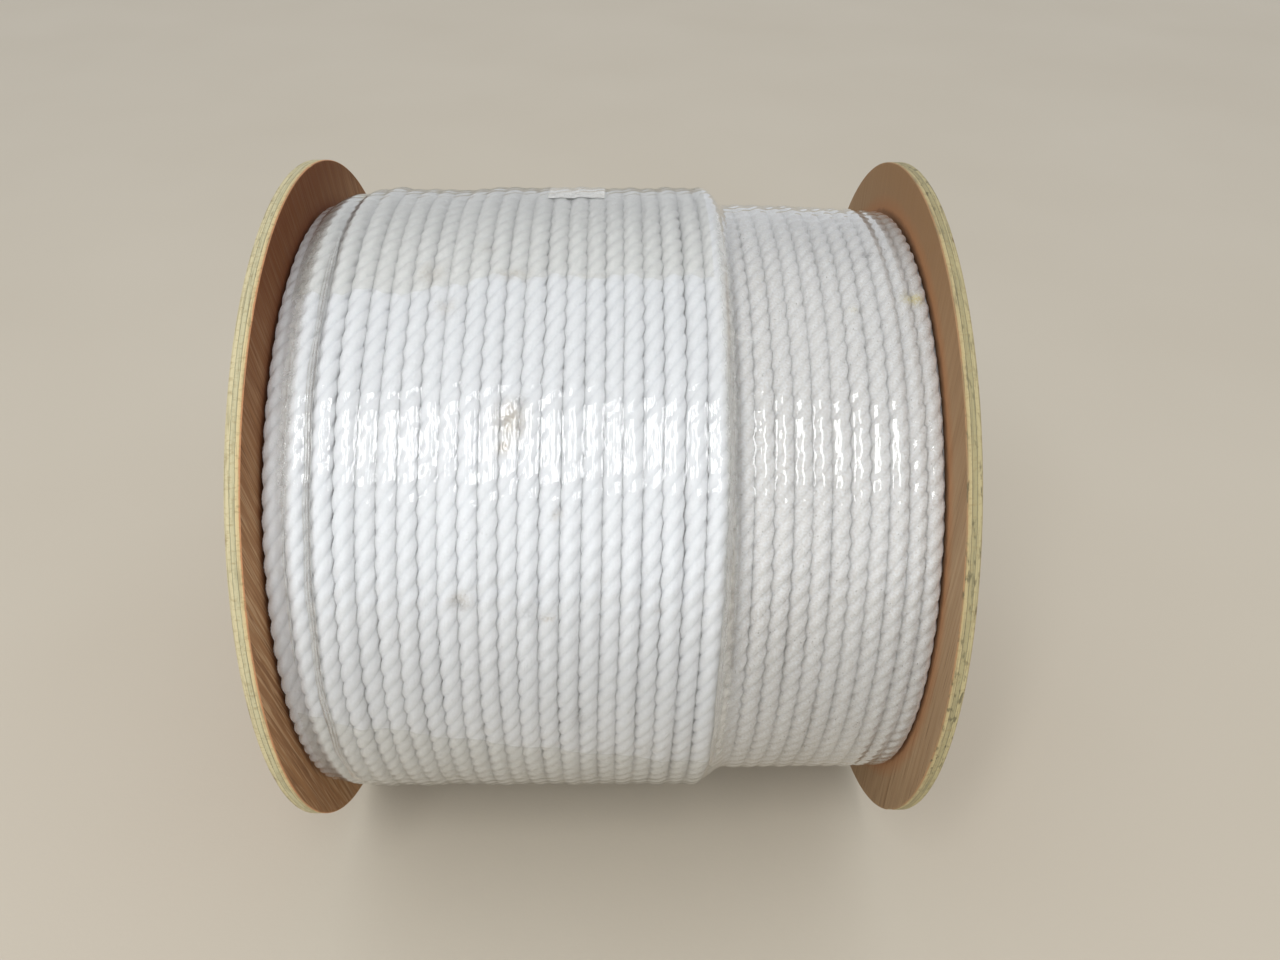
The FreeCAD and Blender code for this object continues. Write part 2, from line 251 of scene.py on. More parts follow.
def board_material(name, tones, winding, rim_tones, tilt, worn):
    """Plywood: a grained face veneer rubbed round the winding, and a rim that shows five plies.

    tones is (light, dark, hair, rubbed, painted shade high on the face), winding the radius that
    the rope reaches, tilt the grain's turn in radians and worn the rim's wear from 0 to 1.
    """
    s = Shader(name)
    face_tone, face_dark, hair_tone, rub_tone, painted_top_shade = tones
    turned = s.place(turn=(tilt, 0, 0))
    bands = s.noise(s.place((60, 330, 9), source=turned), 1.0, 4.0, 0.5)
    hairs = s.noise(s.place((60, 800, 22), source=turned), 1.0, 3.0, 0.8)
    pores = s.noise(s.place((200, 1500, 30), source=turned), 1.0, 2.0)
    stain = s.noise(s.place((9, 11, 7)), 1.0, 3.0)
    face = s.mix(s.ramp(bands, [(0.3, 0.0), (0.7, 1.0)]), face_dark, face_tone)
    face = s.mix(s.ramp(stain, [(0.35, 0.0), (0.7, 0.4)]), face, face_dark)
    face = s.mix(s.ramp(hairs, [(0.48, 0.0), (0.62, 0.6)]), face, hair_tone)
    face = s.mix(s.ramp(pores, [(0.6, 0.0), (0.72, 0.55)]), face, srgb(66, 42, 30))
    level = s.add("SeparateXYZ", {"Vector": s.place()}, output="Z")
    # painted shade: the face turns darker and warmer high up, a painted warm shade and reflection
    face = s.mix(s.ramp(level, [(0.27, 0.0), (0.37, 0.85)]), face, painted_top_shade)
    ring_width = 30
    outside = s.math("SUBTRACT", s.field("reach"), winding - ring_width / 3)
    outside = s.math("MULTIPLY", outside, 1 / ring_width)
    ragged = s.noise(s.place((120, 120, 120)), 1.0, 3.0)
    outside = s.math("ADD", outside, s.math("MULTIPLY", s.math("SUBTRACT", ragged, 0.5), 0.12))
    rubbed = s.ramp(outside, [(0.1, 0.0), (0.3, 0.7), (0.42, 0.5), (0.62, 0.0)])
    face = s.mix(rubbed, face, rub_tone)
    # a dark ring right beside the winding: partly dirt, partly painted shade where the rope meets the
    # face
    face = s.mix(s.ramp(outside, [(0.12, 0.6), (0.29, 0.4), (0.36, 0.0)]), face, srgb(78, 56, 44))
    ply = s.math("MULTIPLY", s.field("ply"), 1 / BOARD)
    tear = s.noise(s.place((200, 420, 420)), 1.0, 2.0)
    ply = s.math("ADD", ply, s.math("MULTIPLY", s.math("SUBTRACT", tear, 0.5), 0.09))
    layers = s.ramp(ply, rim_tones)
    streak = s.noise(s.place((1300, 42, 42)), 1.0, 3.0, 0.6)
    end_grain = s.noise(s.place((420, 700, 700)), 1.0, 3.0)
    blots = s.noise(s.place((500, 170, 170)), 1.0, 3.0)
    weather = s.noise(s.place((14, 14, 14)), 1.0, 2.0)
    rim = s.mix(s.ramp(streak, [(0.5, 0.0), (0.72, 0.5 + 0.3 * worn)]), layers, srgb(122, 116, 92))
    rim = s.mix(s.ramp(end_grain, [(0.52, 0.0), (0.75, 0.55)]), rim, srgb(140, 122, 86))
    spotted = s.math("MULTIPLY", s.ramp(blots, [(0.56, 0.0), (0.68, 1.0)]),
                     s.ramp(weather, [(0.42, 0.25 * worn), (0.62, 0.25 + 0.65 * worn)]))
    rim = s.mix(spotted, rim, srgb(92, 86, 66))
    on_rim = s.field("rim")
    tone = s.mix(on_rim, face, rim)
    height = s.mix(on_rim, s.mix(0.5, bands, hairs), s.mix(0.5, streak, end_grain))
    return s.finish(s.principled(
        Base_Color=tone, Roughness=s.ramp(bands, [(0.0, 0.55), (1.0, 0.72)]),
        Normal=s.bump(height, 0.6, 0.0004), Specular_IOR_Level=0.1))


def steel_material(name, tone, scale):
    s = Shader(name)
    mottle = s.noise(s.place((scale, scale, scale)), 1.0, 3.0)
    scratches = s.noise(s.place((300, 2600, 2600)), 1.0, 2.0)
    colour = s.mix(s.ramp(mottle, [(0.3, 0.0), (0.75, 1.0)]), tone, srgb(196, 190, 170))
    rough = s.ramp(mottle, [(0.3, 0.28), (0.7, 0.46)])
    return s.finish(s.principled(Base_Color=colour, Metallic=1.0, Roughness=rough,
                                 Normal=s.bump(scratches, 0.2, 0.0001)))


def paper_material():
    """Spiral-wound tube board."""
    s = Shader("tube_board")
    spiral = s.add("TexWave", {"Vector": s.place((16, 5, 5)), "Scale": 1.0, "Distortion": 0.6,
                               "Detail": 2.0, "Detail Scale": 4.0}, output="Fac")
    pulp = s.noise(s.place((500, 500, 500)), 1.0, 3.0)
    colour = s.mix(s.ramp(spiral, [(0.46, 0.0), (0.5, 0.6), (0.54, 0.0)]),
                   srgb(168, 138, 104), srgb(112, 86, 60))
    colour = s.mix(s.ramp(pulp, [(0.35, 0.0), (0.75, 0.4)]), colour, srgb(134, 106, 76))
    return s.finish(s.principled(Base_Color=colour, Roughness=0.85,
                                 Normal=s.bump(pulp, 0.35, 0.0003)))


ROPE = rope_material()
FILM = film_material("stretch_film", milk=1.0, gloss=1.35, roughness=0.06,
                     tint=(0.975, 0.975, 0.97, 1.0))
OUTER = film_material("outer_film", milk=1.0, gloss=0.8, roughness=0.08,
                      tint=(0.998, 0.99, 0.965, 1.0))
FOLD = film_material("folded_film", milk=1.0, gloss=2.0, roughness=0.12,
                     tint=(0.97, 0.965, 0.95, 1.0))
TAPE = film_material("packing_tape", milk=0.7, gloss=1.2, roughness=0.15,
                     tint=(0.97, 0.97, 0.95, 1.0))

# ---------------------------------------------------------------- the rope's path
# A turn runs round the reel and moves over by one place in a short crossing, low on the back.
# Turn i of a path lies between the crossings i and i + 1, and a stop gives the place along the
# axis, the crown radius and the sinking of one turn. The turns beside a flange are sunk.

CROSSING = 218.0  # the angle where turns cross over
CROSSING_HALF = 19.0  # half the angle that a crossing takes
ROPE_R = 4.76
LOBE_OUT, LOBE_R = 1.64, 3.12  # where a strand's centre is, and its radius
LOBE_ANGLES = np.array([-60, -51, -38, -20, 0, 20, 38, 51.0])
LAY = 32.4  # the length of rope in which a strand goes round once
SQUARE = 2.3  # neighbours press each turn towards a square
PRESSED = 1.15  # and their strands bed into each other sideways
ROW_STEP = 2.0
MEAN_R = (LOWER + TOP) / 2
ROWS_R = 170  # the radius that a piece's mesh rows are counted at

# The uneven spacing of the top turns, from the left flange.
TOP_SHIFTS = [-1.2, 1.0, 1.6, 1.5, 1.5, 1.1, 0.7, 0.4, 0.3, 0, -0.5, -0.6, -0.4, -0.3, -0.2, -0.5,
              -1.0, -1.1, -0.9, -0.2, 0.2]
TOP_SUNK = {1: 3.9, 2: 2.0, 3: 0.8, 4: 1.6, 5: 1.7, 6: 1.6, 7: 1.4, 8: 0.8}
LOWER_SUNK = {35: 3.6, 34: 2.8, 33: 2.5, 32: 2.1, 31: 1.5, 30: 0.8}
LAST_PLACE = 34.86  # the turn beside the right flange has room only here
COVERED = 21  # turns of the last full layer that the top layer hides
HELD, FREE = 5, 35  # how far from a flange a turn is held in line, and how far it is free
LEAN_ANGLES = [-142, -60, -26, 0, 20, 40, 62, 80, 120, 218]
LEAN = [0, -3.6, -3.2, -2.0, 0, 1.4, 2.4, 2.3, 1.6, 0]  # how far a turn wanders towards +X
SINK_ANGLES = [-142, -60, 0, 60, 90, 200, 218]
SINK = [0.25, 0.25, 0.5, 0.9, 1.0, 1.0, 0.25]  # how much of its sinking a turn shows


def lower_x(place):
    """The middle of a turn of the last full layer, counted from the left flange."""
    return -HALF + LOWER_PITCH * (place - 0.5)


def lower_stop(place):
    uneven = min(0.25, rng.normal(0, 0.2))
    return (lower_x(min(place, LAST_PLACE)), LOWER + uneven, LOWER_SUNK.get(place, 0))


def top_stop(number):
    uneven = max(-0.3, rng.normal(0.1, 0.3))
    middle = TOP_START + TOP_PITCH * (number - 0.5) + TOP_SHIFTS[number - 1]
    return (middle, TOP - uneven, TOP_SUNK.get(number, 0))


LOWER_PATH = [(lower_x(LAYER_TURNS), HIDDEN - 1.5, 0)]
LOWER_PATH += [lower_stop(place) for place in range(LAYER_TURNS, COVERED, -1)]
TOP_PATH = [(lower_x(4), LOWER, 0), (lower_x(3), LOWER, 0), (lower_x(2), LOWER, 0),
            (lower_x(1.15), TOP, 10.0)]
TOP_PATH += [top_stop(number) for number in range(1, TOP_TURNS + 1)]


def along_path(path, turns):
    """x, crown radius, angle and length along the rope, for a count of turns from the start.

    Between two crossings a turn only sways a little and leans, the less the nearer a flange is.
    """
    turns = np.asarray(turns, float)
    near = np.rint(turns)
    share = np.clip((turns - near) * 360 / (2 * CROSSING_HALF) + 0.5, 0, 1)
    share = share * share * (3 - 2 * share)
    table = np.array(path)
    before = table[np.clip(near.astype(int) - 1, 0, len(path) - 1)]
    after = table[np.clip(near.astype(int), 0, len(path) - 1)]
    x, crown, sunk = (before + (after - before) * share[..., None]).T
    angle = CROSSING + 360 * turns
    place = (angle - CROSSING) % 360 + CROSSING - 360
    room = np.clip((HALF - np.abs(x) - HELD) / (FREE - HELD), 0, 1)
    lean = np.interp(place, LEAN_ANGLES, LEAN)
    sway = 0.22 * np.sin(np.radians(angle * 3) + x * 0.08)
    sway = sway + 0.16 * np.sin(np.radians(angle * 7) - x * 0.19)
    sway = sway + 0.12 * np.sin(np.radians(angle * 13) + x * 0.5)
    x = x + room * (sway + lean * np.where(x > STEP_X, 0.5, 1.0))
    length = math.tau * MEAN_R * turns
    crown = crown + 0.12 * np.sin(np.radians(angle * 5) + x * 0.13)
    crown = crown - sunk * np.interp(place, SINK_ANGLES, SINK)
    return x, crown, angle, length


def lay_phase(length):
    """How far the strands have turned at a length along the rope, in degrees. The lay is uneven."""
    slip = 40 * np.sin(length / 310) + 24 * np.sin(length / 117 + 1.0) + 9 * np.sin(length / 53)
    return -360 * length / LAY + slip


def section(alpha, phase):
    """The rope's radius in direction alpha (degrees) where its strands stand at phase."""
    off = np.radians((alpha - phase + 60) % 120 - 60)
    radius = LOBE_OUT * np.cos(off) + np.sqrt(LOBE_R ** 2 - (LOBE_OUT * np.sin(off)) ** 2)
    a = np.radians(alpha)
    square = (np.abs(np.cos(a)) ** SQUARE + np.abs(np.sin(a)) ** SQUARE) ** (-1 / SQUARE)
    return radius * square, np.abs(off) / math.radians(60)


BROWN, DARK, YELLOW = 0, 1, 2
# Marks on the rope, as (x, angle, half width, half height, kind, strength).
GRIME = [
    (-43, 47, 7, 9, BROWN, 0.8), (-46, 43, 3, 4, BROWN, 0.9), (-38, 50, 3, 3, DARK, 0.25),
    (-66, 20, 6, 4, BROWN, 0.5), (-66, 19, 2.5, 2, DARK, 0.45), (-27, 17, 4, 2, BROWN, 0.6),
    (-22, 33, 3, 3, BROWN, 0.4), (-36, 18, 3, 4, DARK, 0.25), (-13.5, -3, 1.6, 5, DARK, 0.6),
    (-84, 73, 7, 8, BROWN, 0.4), (-75, 66, 6, 5, BROWN, 0.4), (-45, 72.5, 9, 4, BROWN, 0.45),
    (-58, 79, 6, 5, BROWN, 0.25), (0, 72.2, 26, 1.0, BROWN, 0.35),
    (149, 71.0, 4.5, 3.0, YELLOW, 1.0), (118, 68, 3, 2, YELLOW, 0.25),
    (131, 82.5, 2.2, 2.2, DARK, 1.0), (143, 72, 2, 2, DARK, 0.35), (110, 66, 5, 4, BROWN, 0.3),
    (98, 60, 6, 5, BROWN, 0.25), (24, 18, 3, 2, BROWN, 0.3), (-60, -6, 5, 3, BROWN, 0.3),
    (70, 20, 8, 6, BROWN, 0.2), (86, 36, 3, 3, BROWN, 0.3), (20, -12, 9, 5, BROWN, 0.3),
    (30, 200, 12, 9, BROWN, 0.4), (-70, 160, 9, 8, BROWN, 0.35), (-20, 285, 16, 10, BROWN, 0.5),
    (40, 262, 14, 8, DARK, 0.3), (90, 230, 8, 6, BROWN, 0.4), (-110, 250, 10, 7, BROWN, 0.35),
]


def grime_and_bounce_at(x, angle, radius):
    """The strength of each kind: the grime marks, browner towards the bottom, dust at the right, and a
    painted warm bounce low on the underside.
    """
    out = np.zeros(x.shape + (3,))
    for gx, ga, gw, gh, kind, strength in GRIME:
        across = (x - gx) / gw
        up = np.radians((angle - ga + 180) % 360 - 180) * radius / gh
        out[..., kind] = np.maximum(out[..., kind], strength * np.exp(-(across ** 2 + up ** 2)))
    low = np.clip(-np.sin(np.radians(angle)), 0, 1)
    right = np.clip((x - 52) / 6, 0, 1) * (0.10 + 0.2 * np.clip((angle - 60) / 30, 0, 1))
    # browner towards the bottom; brown dust at the right, more of it towards the top
    out[..., BROWN] = np.maximum(out[..., BROWN], 0.07 + 0.22 * low + right)
    # painted warm bounce: yellow low on the underside stands for light thrown up from the floor
    out[..., YELLOW] = np.maximum(out[..., YELLOW], 0.35 * np.clip((low - 0.5) / 0.4, 0, 1))
    return out


def rope_piece(name, path, first, last, replaces=(), capped=()):
    """The stretch of a path between two counts of turns, its mesh rows following the lay.

    capped says which ends are rounded off and closed: 0 for the first, 1 for the last.
    """
    rows = int((last - first) * math.tau * ROWS_R / ROW_STEP)
    turns = np.linspace(first, last, rows)
    x, crown, angle, length = along_path(path, turns)
    phase = lay_phase(length)
    alpha = (phase[:, None] + (np.arange(3)[:, None] * 120 + LOBE_ANGLES).ravel()[None, :])
    reach, groove = section(alpha, phase[:, None])
    reach = reach * (1 + 0.012 * np.sin(length / 9.0)[:, None])
    for row in capped:
        to_end = np.abs(length - length[-row])
        reach = reach * np.sqrt(np.clip(0.25 + to_end / 4, 0, 1))[:, None]
    a = np.radians(alpha)
    lateral, outward = PRESSED * reach * np.cos(a), reach * np.sin(a)
    points = ring_points(x[:, None] + lateral, (crown - ROPE_R)[:, None] + outward, angle[:, None])
    count = alpha.shape[1]
    faces = [grid_faces(rows, count, wrap_columns=True, flip=True)]
    for row in capped:
        base = (rows - 1) * count if row else 0
        order = np.arange(count)[::1 if row else -1] + base
        faces.append(order[None, ::-1])
    fields = {
        "lay": np.stack([lateral, outward, np.broadcast_to(length[:, None], reach.shape)], -1),
        "groove": groove,
        "grime_and_bounce": grime_and_bounce_at(points[..., 0], np.broadcast_to(angle[:, None], reach.shape), TOP),
    }
    piece(name, points, faces, ROPE, replaces, fields)


ROPE_END = 24.93  # the count of turns at the free end
rope_piece("rope_lower_right", LOWER_PATH, 0.9, 7.5, ["rope_lower_layer"], [0])
rope_piece("rope_lower_middle", LOWER_PATH, 7.5, 14.4, ["rope_lower_layer"], [1])
rope_piece("rope_edge_turns", TOP_PATH, 0.5, 4.0, ["rope_lower_layer"], [0])
rope_piece("rope_top_left", TOP_PATH, 4.0, 11.0, ["rope_top_layer"])
rope_piece("rope_top_middle", TOP_PATH, 11.0, 18.0, ["rope_top_layer"])
rope_piece("rope_top_right", TOP_PATH, 18.0, ROPE_END, ["rope_top_layer"], [1])

# ---------------------------------------------------------------- the stretch film
FILM_GAP = 0.22  # between the rope's crowns and the film
COLUMNS = 263
FILM_ROWS = 500
FILM_HALF = HALF - 2.6
FIRST_CROWN_GAP_X = -144.5  # the film hangs loose between the first crown and the next
TURN_HALF = 5.3  # half the width of a pressed turn, with some room
# The radii of the balls that roll over the rope: round the reel, and along the axis where the
# film is tight and where it is slack.
ROUND_BALL, TIGHT_BALL, SLACK_BALL = 24.0, 5.5, 26.0
ROW_ANGLE = 360 / FILM_ROWS
film_x = np.linspace(-FILM_HALF, FILM_HALF, COLUMNS)
film_angle = CROSSING - 360 + np.arange(FILM_ROWS) * ROW_ANGLE


def rope_outline():
    """The highest rope surface at each place of a grid over the winding."""
    under_crowns = LOWER - 5.0
    height = np.full((FILM_ROWS, COLUMNS), under_crowns)
    alpha = np.arange(6.0, 175.0, 4.0)
    a = np.radians(alpha)
    turns_in = (film_angle - CROSSING) / 360 + 1
    touching = [(LOWER_PATH, count) for count in range(1, 13)]
    touching += [(TOP_PATH, count) for count in range(2, TOP_TURNS + 4)]
    for path, count in touching:
        x, crown, _, length = along_path(path, turns_in + count)
        phase = lay_phase(length)
        reach, _ = section(alpha[None, :], phase[:, None])
        across = np.maximum.accumulate((PRESSED * reach * np.cos(a))[:, ::-1], axis=1)
        up = (reach * np.sin(a))[:, ::-1]
        for row in range(FILM_ROWS):
            near = np.abs(film_x - x[row]) < TURN_HALF
            seen = np.interp(film_x[near], x[row] + across[row], up[row])
            height[row, near] = np.maximum(height[row, near], crown[row] - ROPE_R + seen)
    return height


def roll_over(height, radius, step, axis):
    """The surface that a ball of this radius rolls on: it bridges what is narrower than it."""
    reach = int(radius * 0.75 / step)
    pad = [(0, 0), (0, 0)]
    pad[axis] = (reach, reach)
    size = height.shape[axis]
    for sign, pick in ((1, np.maximum), (-1, np.minimum)):
        padded = np.pad(height, pad, mode="wrap" if axis == 0 else "edge")
        parts = []
        for k in range(-reach, reach + 1):
            lift = math.sqrt(radius ** 2 - (k * step) ** 2)
            parts.append(np.take(padded, np.arange(size) + reach + k, axis) + sign * lift)
        height = pick.reduce(parts)
    return height


def soft_noise(round_length, axis_length):
    """Smooth noise on the film's grid, with its two lengths in cells; it closes on itself."""
    shape = (FILM_ROWS, COLUMNS)
    spectrum = np.fft.rfft2(rng.normal(size=shape))
    rows, columns = np.fft.fftfreq(shape[0])[:, None], np.fft.rfftfreq(shape[1])[None, :]
    wave = (rows * round_length) ** 2 + (columns * axis_length) ** 2
    spectrum *= np.exp(-2 * math.pi ** 2 * wave)
    noise = np.fft.irfft2(spectrum, shape)
    return noise / noise.std()


def film_surface():
    """The film's radius on its grid: rolled over the rope, smoothed, and wrinkled where it lies."""
    column_step = film_x[1] - film_x[0]
    height = roll_over(rope_outline(), ROUND_BALL, math.radians(ROW_ANGLE) * TOP, 0)
    tight = roll_over(height, TIGHT_BALL, column_step, 1)
    slack = roll_over(height, SLACK_BALL, column_step, 1)
    in_gap = np.exp(-((film_x - FIRST_CROWN_GAP_X) / 5) ** 4)
    at_step = np.exp(-((film_x - STEP_X - 1.0) / 6) ** 4)
    height = tight + (slack - tight) * (in_gap + at_step)
    padded = np.pad(height, ((0, 0), (1, 1)), mode="edge")
    height = sum(padded[:, k:k + COLUMNS] * part for k, part in enumerate((0.25, 0.5, 0.25)))
    lit = np.exp(-((film_angle - 44) / 22) ** 4)[:, None]
    loose = np.where(film_x < STEP_X, 0.07, 0.03) * (0.35 + 0.65 * lit)
    wrinkles = loose * (soft_noise(3.0, 1.6) + soft_noise(7.0, 3.0))
    return height + FILM_GAP + np.maximum(wrinkles, -0.05)


film_height = film_surface()


def milk_at(x, angle):
    """How cloudy the film is: more layers high up, bunched in the gap and down the step.

    A corner of one layer shows as a short line over the first turns beyond the step.
    """
    high = np.clip((angle - 12) / 38, 0, 1) * np.clip((170 - angle) / 40, 0, 1)
    step = np.exp(-((x - STEP_X - 3.0) / 3.2) ** 2)
    edge = np.exp(-((x + 145) / 4) ** 2)
    corner = np.exp(-((angle - 61.9) / 0.5) ** 2) * np.exp(-((x - 68) / 9) ** 4)
    return 0.10 + 0.06 * high + 0.45 * step + 0.3 * edge * (0.4 + 0.6 * high) + 0.25 * corner


def film_at(x, angle):
    """The film's radius at places on the winding, from the grid."""
    column = np.clip((np.asarray(x) + FILM_HALF) / (film_x[1] - film_x[0]), 0, COLUMNS - 1.001)
    row = (np.asarray(angle) - film_angle[0]) / ROW_ANGLE % FILM_ROWS
    i, j = np.floor(row).astype(int), np.floor(column).astype(int)
    u, v = row - i, column - j
    i2 = (i + 1) % FILM_ROWS
    i %= FILM_ROWS
    return ((film_height[i, j] * (1 - v) + film_height[i, j + 1] * v) * (1 - u)
            + (film_height[i2, j] * (1 - v) + film_height[i2, j + 1] * v) * u)


def stretch_lines(x, angle, radius, across=0.9, along=0.03):
    """Noise coordinates for the fine lines that run round the reel where film is pulled tight."""
    a = np.radians(angle)
    return np.stack(np.broadcast_arrays(x * across, np.cos(a) * radius * along,
                                        np.sin(a) * radius * along), -1)


# The film has every row of its grid at the front and every other row at the back.
front = (film_angle > -52) & (film_angle < 126)
keep = front | (np.arange(FILM_ROWS) % 2 == 0)
rows_x, rows_angle = np.meshgrid(film_x, film_angle[keep])
points = ring_points(rows_x, film_height[keep], rows_angle)
film = piece("film_first_layer", points, [grid_faces(int(keep.sum()), COLUMNS, wrap_rows=True)],
             FILM, ["stretch_film"],
             {"stretch": stretch_lines(rows_x, rows_angle, TOP),
              "loose": np.where(rows_x < STEP_X + 6, 1.0, 0.3),
              "milk": milk_at(rows_x, rows_angle) + 0.03 * soft_noise(9.0, 4.0)[keep]})

# A second layer of film lies over the back, and its two ends show at the top and at the bottom.
OUTER_LO, OUTER_HI = -150.0, 51.0
outer_x = np.linspace(OUTER_LO, OUTER_HI, 169)
outer_share, outer_columns = np.meshgrid(np.linspace(0, 1, 380), outer_x, indexing="ij")
outer_first = 71.8 + 0.5 * np.sin(outer_columns * 0.21) + 0.25 * np.sin(outer_columns * 0.67)
outer_first = outer_first - 3.0 * np.clip((-58 - outer_columns) / 30, 0, 1)
outer_last = 346.5 - 0.075 * outer_columns + 0.5 * np.sin(outer_columns * 0.17)
outer_angle = outer_first + (outer_last - outer_first) * outer_share
# The very edge of a cut end looks whiter.
cut_ends = np.exp(-(outer_share * 900) ** 2) + np.exp(-((1 - outer_share) * 900) ** 2)
outer = piece("film_outer_layer",
              ring_points(outer_columns, film_at(outer_columns, outer_angle) + 0.14, outer_angle),
              [grid_faces(*outer_columns.shape)], OUTER, (),
              {"stretch": stretch_lines(outer_columns, outer_angle, TOP),
               "loose": np.full(outer_columns.shape, 0.5),
               "milk": 0.07 + 0.08 * cut_ends})


def film_fold(name, turn, shift, half_width, lift, first, last, seed):
    """Film bunched to a band that runs round the reel beside one turn of the top path."""
    local = np.random.default_rng(seed)
    angle = np.arange(first, last, 0.8)
    x, *_ = along_path(TOP_PATH, (angle - CROSSING) / 360 + turn)
    end = np.clip(np.minimum(angle - first, last - angle) / 9, 0, 1) ** 0.5
    width = half_width * end * (1 + wobble(angle, (5, 40), 0.16, local))
    middle = x + shift + wobble(angle, (3, 30), 0.35, local)
    across = np.linspace(-1, 1, 21)[None, :]
    ridge = 0.5 + 0.5 * np.cos(across * 8.5 + wobble(angle, (2, 24), 1.2, local)[:, None])
    bulge = (1 - across ** 2) ** 0.5 * (0.45 + 0.55 * ridge)
    fold_x = middle[:, None] + across * width[:, None]
    fold_angle = np.broadcast_to(angle[:, None], fold_x.shape)
    radius = film_at(fold_x, fold_angle) + 0.1 + lift * end[:, None] * bulge
    piece(name, ring_points(fold_x, radius, fold_angle), [grid_faces(*fold_x.shape)], FOLD,
          (), {"stretch": stretch_lines(fold_x, fold_angle, TOP, 1.6, 0.02),
                             "loose": np.ones_like(fold_x), "milk": 0.42 * bulge ** 0.7})


# Each fold is (name, turn, shift along the axis, half width, lift, first and last angle, seed).
film_fold("film_fold_left", 5, 5.9, 2.1, 0.7, -34.0, 84.0, 5)
film_fold("film_fold_edge", 5, -4.9, 0.7, 0.35, 8.0, 66.0, 6)
film_fold("film_fold_step", 25, 6.0, 1.5, 0.5, -22.0, 60.0, 7)

# ---------------------------------------------------------------- flanges
RIM_SEGMENTS = 720
GLUE_LINES = (0.5, 2.4, 4.7, 6.6)
ARBOR_R = 15.875
SEAT_OUT, SEAT_IN, SEAT_DEEP = 75.2, 66.8, 3.0
EASED = 0.3  # how far the rim's edges are rounded off
GLUE_DEEP = 0.13  # how far a glue line stands back


def flange_profile():
    """(depth from the outer face, radius, 1 on the rim) round the board's section."""
    face_out = [ARBOR_R + 0.4, 24, 40, 60, 80, 100, 120, 140, 160, 175, 185, REEL_R - 0.6]
    rim = [(0.05, -EASED), (0.25, -0.06)]
    for low, high in zip((0.0,) + GLUE_LINES, GLUE_LINES + (BOARD,)):
        inside = np.linspace(low + 0.06, high - 0.06, 2 if high - low < 1 else 4)
        rim += [(u, 0.0) for u in inside if EASED < u < BOARD - EASED]
        rim += [(high, -GLUE_DEEP)] if high < BOARD else []
    rim += [(BOARD - 0.25, -0.06), (BOARD - 0.05, -EASED)]
    face_in = [REEL_R - 0.6, 187, 183, 179, 175, 170, 165, 150, 120, 95, SEAT_OUT]
    profile = [(0.4, ARBOR_R, 0)] + [(0.0, r, 0) for r in face_out]
    profile += [(u, REEL_R + drop, 1) for u, drop in rim]
    profile += [(BOARD, r, 0) for r in face_in]
    profile += [(BOARD - SEAT_DEEP, SEAT_OUT, 0), (BOARD - SEAT_DEEP, SEAT_IN, 0)]
    profile += [(BOARD, r, 0) for r in (SEAT_IN, 50, 30, ARBOR_R + 0.4)]
    profile += [(BOARD - 0.4, ARBOR_R, 0)]
    return np.array(profile, float)


def flange_piece(name, side, material, chips):
    """A board on one side of the reel. The field reach marks only its inner face."""
    profile = flange_profile()
    angle = np.arange(RIM_SEGMENTS) * 360 / RIM_SEGMENTS
    depth = np.repeat(profile[:, 0][:, None], RIM_SEGMENTS, 1)
    radius = np.repeat(profile[:, 1][:, None], RIM_SEGMENTS, 1)
    on_rim = profile[:, 2] > 0
    local = np.random.default_rng(31 + int(side > 0))
    ply_wave = [wobble(angle, (20, 160), 0.05, local) for _ in range(5)]
    for k in np.flatnonzero(on_rim):
        ply = int(np.searchsorted(GLUE_LINES, depth[k, 0]))
        rough = 0.05 if ply in (1, 3) else 0.02
        radius[k] += np.minimum(0, ply_wave[ply] + local.normal(0, rough, RIM_SEGMENTS))
    for at, half, deep, low, high in chips:
        away = np.abs((angle - at + 180) % 360 - 180)
        share = np.clip(1 - away / half, 0, 1) ** 0.6
        for k in np.flatnonzero(on_rim & (profile[:, 0] >= low) & (profile[:, 0] <= high)):
            radius[k] -= deep * share * (0.8 + 0.4 * local.random(RIM_SEGMENTS))
    x = side * (HALF + BOARD - depth)
    points = ring_points(x, radius, np.broadcast_to(angle, depth.shape))
    faces = [grid_faces(len(profile), RIM_SEGMENTS, True, True, flip=side < 0)]
    fields = {"ply": depth, "reach": np.where(depth > BOARD / 2, radius, REEL_R),
              "rim": np.repeat(profile[:, 2][:, None], RIM_SEGMENTS, 1)}
    made = piece(name + "_board", points, faces, material, [name], fields)
    made.data.set_sharp_from_angle(angle=math.radians(38))


LEFT_RIM = [(0.0, srgb(193, 182, 148)), (0.31, srgb(192, 181, 144)), (0.345, srgb(142, 141, 118)),
            (0.38, srgb(186, 177, 143)), (0.62, srgb(182, 175, 141)), (0.655, srgb(142, 139, 115)),
            (0.69, srgb(195, 181, 141)), (0.89, srgb(192, 170, 127)), (0.94, srgb(190, 138, 100))]
RIGHT_RIM = [(0.0, srgb(164, 142, 108)), (0.06, srgb(170, 159, 122)), (0.31, srgb(168, 156, 118)),
             (0.345, srgb(122, 117, 95)), (0.38, srgb(153, 144, 109)), (0.62, srgb(155, 144, 109)),
             (0.66, srgb(129, 120, 93)), (0.70, srgb(174, 161, 122)), (0.9, srgb(170, 150, 110)),
             (0.94, srgb(160, 126, 92))]
# The fifth tone of each board is painted shade high on its face.
LEFT_BOARD = board_material(
    "left_plywood", (srgb(172, 130, 90), srgb(134, 95, 64), srgb(192, 160, 122),
                     srgb(108, 60, 36), srgb(90, 42, 8)), LOWER - 3, LEFT_RIM, tilt=-0.3, worn=0.3)
RIGHT_BOARD = board_material(
    "right_plywood", (srgb(172, 146, 114), srgb(142, 114, 84), srgb(160, 130, 100),
                      srgb(160, 108, 70), srgb(136, 102, 68)), LOWER - 2, RIGHT_RIM, tilt=0.0, worn=1.0)
